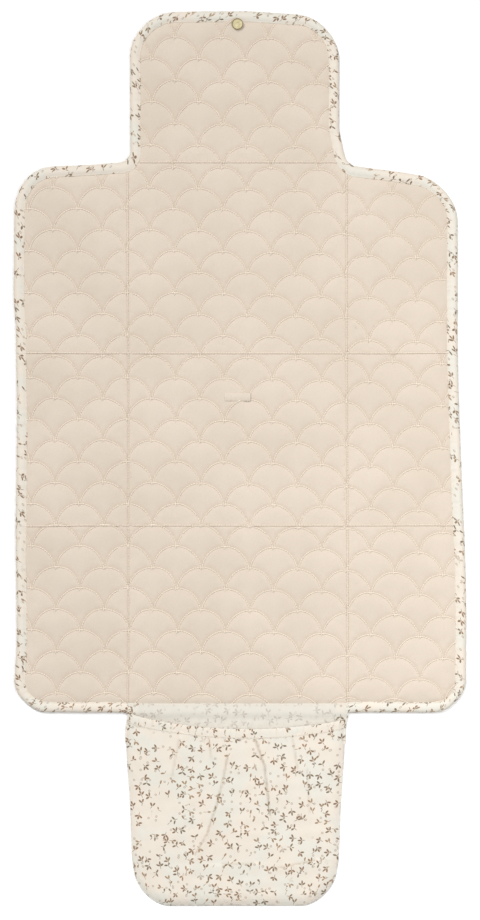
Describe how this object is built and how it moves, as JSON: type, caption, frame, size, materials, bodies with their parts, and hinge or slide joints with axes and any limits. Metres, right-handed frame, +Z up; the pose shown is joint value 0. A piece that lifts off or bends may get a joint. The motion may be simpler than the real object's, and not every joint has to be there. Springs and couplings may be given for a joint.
{
  "type": "changing pad",
  "caption": "Foldable quilted travel changing mat with a head tab and snap, two side wings and a gathered pocket at the foot.",
  "frame": {"origin": "on the floor, under the middle of the open mat's bounding box", "axes": "+Y towards the head tab, +X to the right seen from above, +Z up"},
  "size_m": [0.5, 1, 0.008],
  "materials": {
    "quilt_cotton": "plain beige cotton, quilted in clamshells with a pale thread",
    "print_cotton": "cream cotton printed with small brown sprigs",
    "wadding": "loose white polyester batting",
    "elastic": "white knitted elastic",
    "brass": "pale polished brass",
    "label_tape": "plain woven tape, left blank"
  },
  "bodies": {
    "tab": {"tab_cover": "quilt_cotton", "tab_wadding": "wadding", "tab_backing": "print_cotton", "tab_binding": "print_cotton", "tab_snap_socket": "brass", "tab_snap_cap": "brass"},
    "centre_upper": {"centre_upper_cover": "quilt_cotton", "centre_upper_wadding": "wadding", "centre_upper_backing": "print_cotton", "centre_upper_binding": "print_cotton"},
    "centre_middle": {"centre_middle_cover": "quilt_cotton", "centre_middle_wadding": "wadding", "centre_middle_backing": "print_cotton", "back_snap_stud": "brass", "back_snap_washer": "brass", "label": "label_tape"},
    "centre_lower": {"centre_lower_cover": "quilt_cotton", "centre_lower_wadding": "wadding", "centre_lower_backing": "print_cotton", "centre_lower_binding": "print_cotton"},
    "left_upper": {"left_upper_cover": "quilt_cotton", "left_upper_wadding": "wadding", "left_upper_backing": "print_cotton", "left_upper_binding": "print_cotton"},
    "left_middle": {"left_middle_cover": "quilt_cotton", "left_middle_wadding": "wadding", "left_middle_backing": "print_cotton", "left_middle_binding": "print_cotton"},
    "left_lower": {"left_lower_cover": "quilt_cotton", "left_lower_wadding": "wadding", "left_lower_backing": "print_cotton", "left_lower_binding": "print_cotton"},
    "right_upper": {"right_upper_cover": "quilt_cotton", "right_upper_wadding": "wadding", "right_upper_backing": "print_cotton", "right_upper_binding": "print_cotton"},
    "right_middle": {"right_middle_cover": "quilt_cotton", "right_middle_wadding": "wadding", "right_middle_backing": "print_cotton", "right_middle_binding": "print_cotton"},
    "right_lower": {"right_lower_cover": "quilt_cotton", "right_lower_wadding": "wadding", "right_lower_backing": "print_cotton", "right_lower_binding": "print_cotton"},
    "pocket": {"pocket_back": "print_cotton", "pocket_front": "print_cotton", "pocket_hem": "print_cotton", "pocket_elastic": "elastic"}
  },
  "joints": [
    {"name": "tab_fold", "type": "hinge", "parent": "centre_upper", "child": "tab", "pos_m": [0, 0.3315, 0.0236], "axis": [1, 0, 0], "range_deg": [0, 179.9]},
    {"name": "upper_row_fold", "type": "hinge", "parent": "centre_upper", "child": "centre_middle", "pos_m": [0, 0.1183, 0.0208], "axis": [-1, 0, 0], "range_deg": [0, 179.9]},
    {"name": "lower_row_fold", "type": "hinge", "parent": "centre_middle", "child": "centre_lower", "pos_m": [0, -0.0737, 0.0152], "axis": [-1, 0, 0], "range_deg": [0, 179.9]},
    {"name": "pocket_fold", "type": "hinge", "parent": "centre_lower", "child": "pocket", "pos_m": [0, -0.28365, 0.0096], "axis": [-1, 0, 0], "range_deg": [0, 179.9]},
    {"name": "left_upper_wing_fold", "type": "hinge", "parent": "centre_upper", "child": "left_upper", "pos_m": [-0.1255, 0.2249, 0.0053], "axis": [0, 1, 0], "range_deg": [0, 179.9]},
    {"name": "left_middle_wing_fold", "type": "hinge", "parent": "centre_middle", "child": "left_middle", "pos_m": [-0.1255, 0.0223, 0.0053], "axis": [0, 1, 0], "range_deg": [0, 179.9]},
    {"name": "left_lower_wing_fold", "type": "hinge", "parent": "centre_lower", "child": "left_lower", "pos_m": [-0.1255, -0.1786, 0.0053], "axis": [0, 1, 0], "range_deg": [0, 179.9]},
    {"name": "right_upper_wing_fold", "type": "hinge", "parent": "centre_upper", "child": "right_upper", "pos_m": [0.1255, 0.2249, 0.0053], "axis": [0, -1, 0], "range_deg": [0, 179.9]},
    {"name": "right_middle_wing_fold", "type": "hinge", "parent": "centre_middle", "child": "right_middle", "pos_m": [0.1255, 0.0223, 0.0053], "axis": [0, -1, 0], "range_deg": [0, 179.9]},
    {"name": "right_lower_wing_fold", "type": "hinge", "parent": "centre_lower", "child": "right_lower", "pos_m": [0.1255, -0.1786, 0.0053], "axis": [0, -1, 0], "range_deg": [0, 179.9]}
  ],
  "couplings": [
    {"joint": "left_middle_wing_fold", "follows": "left_upper_wing_fold", "ratio": 1},
    {"joint": "left_lower_wing_fold", "follows": "left_upper_wing_fold", "ratio": 1},
    {"joint": "right_middle_wing_fold", "follows": "right_upper_wing_fold", "ratio": 1},
    {"joint": "right_lower_wing_fold", "follows": "right_upper_wing_fold", "ratio": 1}
  ]
}
